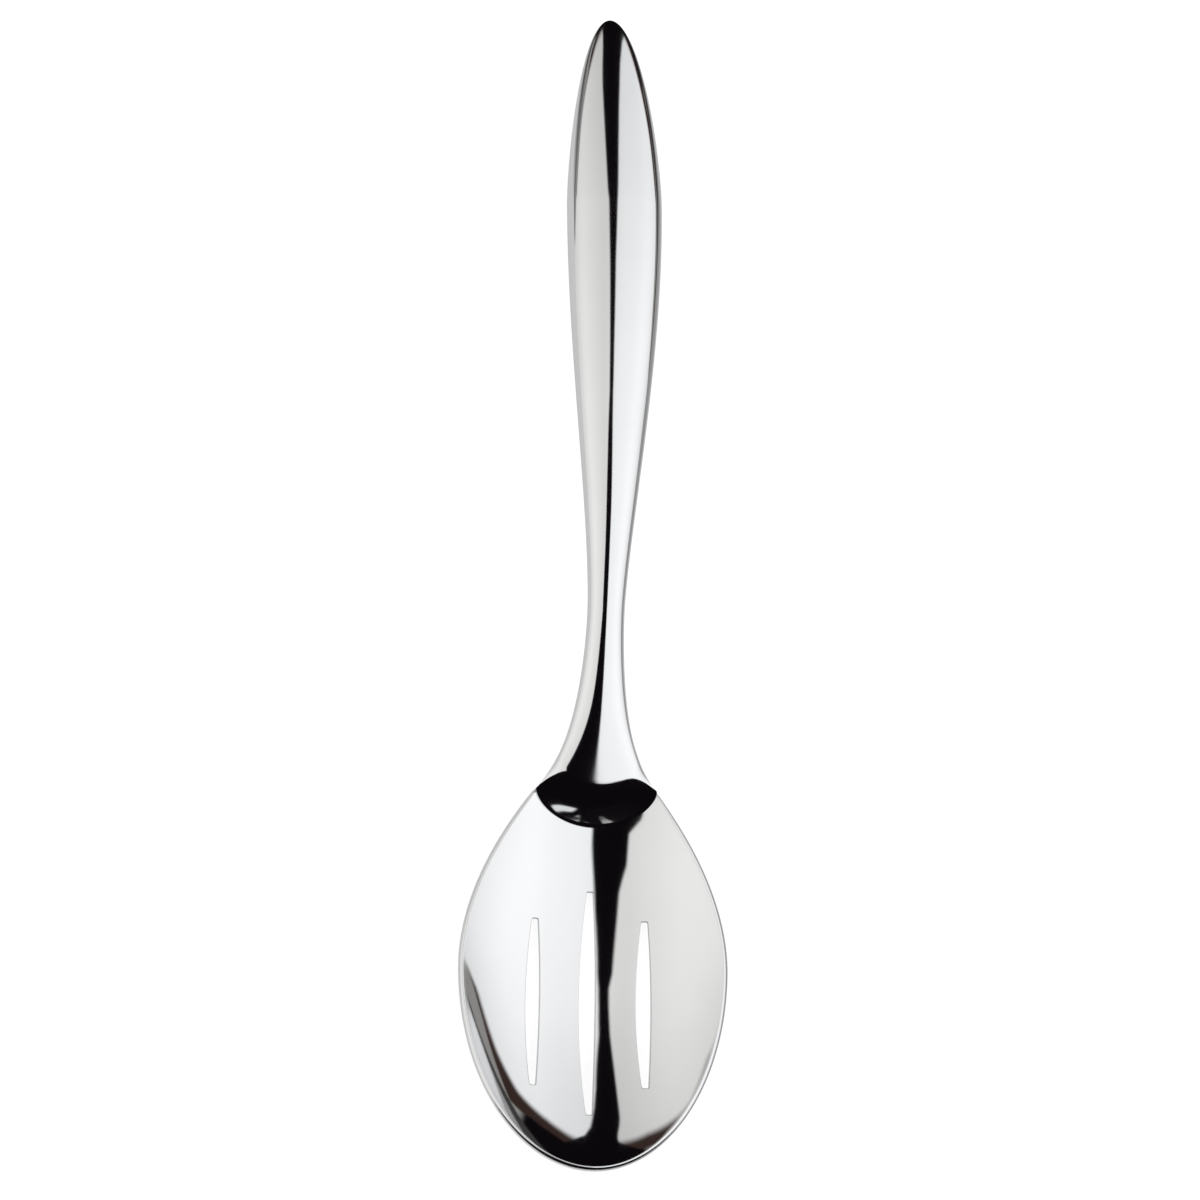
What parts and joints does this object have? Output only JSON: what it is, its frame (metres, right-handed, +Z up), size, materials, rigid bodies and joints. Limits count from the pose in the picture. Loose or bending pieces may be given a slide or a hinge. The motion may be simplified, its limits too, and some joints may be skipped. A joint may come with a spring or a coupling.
{
  "type": "slotted serving spoon",
  "caption": "Polished steel serving spoon with an oval slotted bowl and an arched hollow handle whose round nose grips the bowl's heel.",
  "frame": {"origin": "middle of the spoon's length and width, on the table that the bowl and the handle tip rest on", "axes": "+Y along the spoon from the bowl towards the handle tip, +Z up out of the bowl's hollow, +X across the bowl"},
  "size_m": [0.0578, 0.254, 0.0261],
  "materials": {
    "bowl_steel": "mirror-polished stainless steel sheet with fine table wear",
    "handle_steel": "mirror-polished stainless steel shells",
    "weld_steel": "ground and polished stainless steel weld"
  },
  "bodies": {
    "root": {"bowl": "bowl_steel", "handle_top_shell": "handle_steel", "handle_bottom_shell": "handle_steel", "seam_weld": "weld_steel", "nose_weld_top": "weld_steel", "nose_weld_bottom": "weld_steel"}
  },
  "joints": []
}
